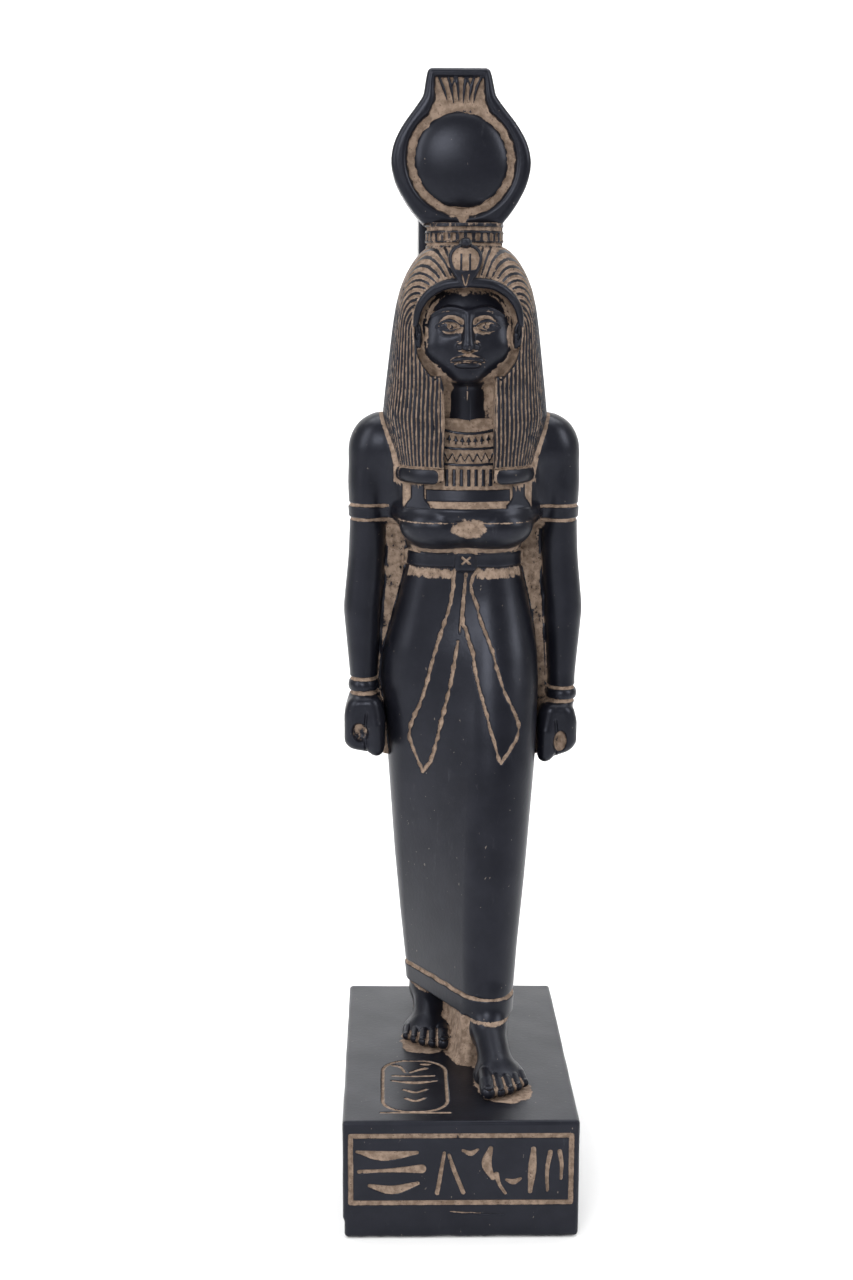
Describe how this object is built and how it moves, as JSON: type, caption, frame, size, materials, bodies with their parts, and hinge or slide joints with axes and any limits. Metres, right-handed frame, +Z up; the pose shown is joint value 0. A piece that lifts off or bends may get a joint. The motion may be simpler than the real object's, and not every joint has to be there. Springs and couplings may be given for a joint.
{
  "type": "cast statuette of an Egyptian goddess",
  "caption": "Striding goddess statuette in a long wig and sheath dress, horned sun disc on her head, back pillar and block plinth, cast in one piece.",
  "frame": {"origin": "on the floor, under the middle of the object's box; X=0 is the figure's own middle plane, and the plinth's middle lies 2.4 mm to -X of it", "axes": "+Z up; the figure faces -Y and its advanced foot is at +X; X runs across the plinth and Y along its depth"},
  "size_m": [0.0882, 0.13, 0.4],
  "materials": {
    "stone_resin": "satin black stone resin with a matt brown wash left in its hollows"
  },
  "bodies": {
    "root": {"isis_statue": "stone_resin"}
  },
  "joints": []
}
